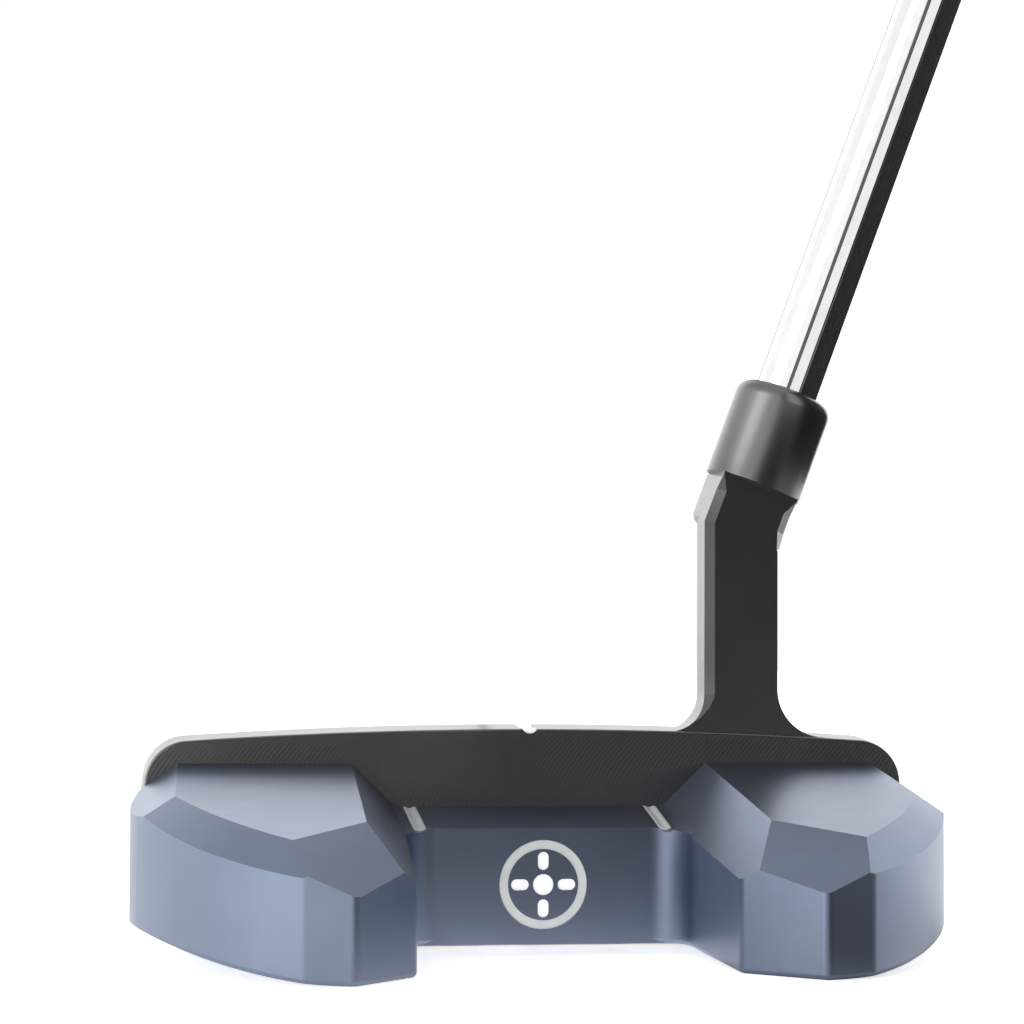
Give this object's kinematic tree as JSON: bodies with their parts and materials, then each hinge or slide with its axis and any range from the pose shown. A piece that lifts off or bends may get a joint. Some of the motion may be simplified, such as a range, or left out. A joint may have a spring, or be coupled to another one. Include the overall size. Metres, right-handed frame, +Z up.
{
  "type": "mallet putter",
  "caption": "Left-handed mallet golf putter: milled steel face block with plumber's neck, faceted two-wing aluminium flange, screw-in sole weights, chromed steel shaft and flat-front grip.",
  "frame": {"origin": "on the ground, in the middle of the flat strip of sole just behind the face", "axes": "+X to the heel, +Y towards the target (the way the face points), +Z up from the ground"},
  "size_m": [0.3821, 0.0707, 0.8157],
  "materials": {
    "black_steel": "satin black coating over milled steel",
    "blue_anodised": "fine bead-blasted blue-grey anodising",
    "screw_steel": "plain steel",
    "weight_steel": "turned steel, satin",
    "seal_rubber": "matte",
    "grey_paint": "light grey paint in a groove, satin",
    "white_paint": "white paint in a groove, satin",
    "shaft_chrome": "mirror chrome plating",
    "glue": "cured epoxy",
    "plug_plastic": "moulded",
    "tape": "double-sided paper tape",
    "core_foam": "foamed rubber",
    "grip_rubber": "matte, finely textured"
  },
  "bodies": {
    "club": {"face_block": "black_steel", "rear_flange": "blue_anodised", "flange_screws": "screw_steel", "locating_pins": "screw_steel", "toe_alignment_line": "grey_paint", "heel_alignment_line": "grey_paint", "badge_ring_paint": "grey_paint", "badge_mark_paint": "white_paint", "sight_notch_paint": "white_paint", "shaft": "shaft_chrome", "hosel_glue": "glue", "tip_plug": "plug_plastic", "grip_tape": "tape", "grip_core": "core_foam", "grip_skin": "grip_rubber", "grip_cap": "grip_rubber"},
    "toe_ring": {"toe_weight_ring": "seal_rubber"},
    "toe_weight": {"toe_weight": "weight_steel"},
    "heel_ring": {"heel_weight_ring": "seal_rubber"},
    "heel_weight": {"heel_weight": "weight_steel"}
  },
  "joints": [
    {"name": "toe_weight_travel", "type": "slide", "parent": "club", "child": "toe_ring", "axis": [0, 0, -1], "range_m": [0, 0.00905]},
    {"name": "toe_weight_turn", "type": "hinge", "parent": "toe_ring", "child": "toe_weight", "pos_m": [-0.036, -0.0334, 0.0013], "axis": [0, 0, -1], "range_deg": [0, 3240]},
    {"name": "heel_weight_travel", "type": "slide", "parent": "club", "child": "heel_ring", "axis": [0, 0, -1], "range_m": [0, 0.00905]},
    {"name": "heel_weight_turn", "type": "hinge", "parent": "heel_ring", "child": "heel_weight", "pos_m": [0.036, -0.0334, 0.0013], "axis": [0, 0, -1], "range_deg": [0, 3240]}
  ],
  "couplings": [
    {"joint": "toe_weight_travel", "follows": "toe_weight_turn", "m_per_rad": 0.00015915},
    {"joint": "heel_weight_travel", "follows": "heel_weight_turn", "m_per_rad": 0.00015915}
  ]
}
